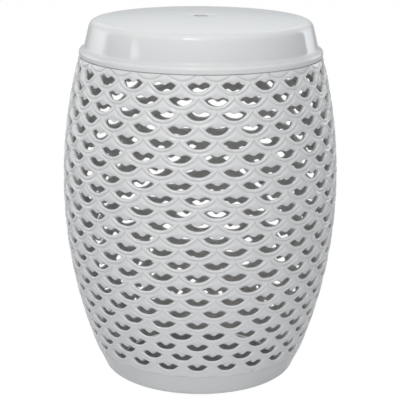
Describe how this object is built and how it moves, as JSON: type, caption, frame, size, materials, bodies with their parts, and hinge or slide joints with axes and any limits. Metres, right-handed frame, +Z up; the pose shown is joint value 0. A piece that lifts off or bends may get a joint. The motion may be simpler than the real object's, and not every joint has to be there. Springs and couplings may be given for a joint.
{
  "type": "drum stool",
  "caption": "Barrel-shaped white glazed ceramic garden stool with a domed seat, a rounded bead under it and a pierced fish-scale wall.",
  "frame": {"origin": "on the floor, under the middle of the seat", "axes": "+Z up the stool's axis, -Y to the front, +X to the right as seen from the front"},
  "size_m": [0.347, 0.347, 0.457],
  "materials": {
    "white_glaze": "smooth high-gloss cool white glaze",
    "grey_felt": "pressed grey felt"
  },
  "bodies": {
    "root": {"seat_cap": "white_glaze", "wall_panel_1": "white_glaze", "wall_panel_2": "white_glaze", "wall_panel_3": "white_glaze", "wall_panel_4": "white_glaze", "foot_ring": "white_glaze", "floor_pad_1": "grey_felt", "floor_pad_2": "grey_felt", "floor_pad_3": "grey_felt", "floor_pad_4": "grey_felt"}
  },
  "joints": []
}
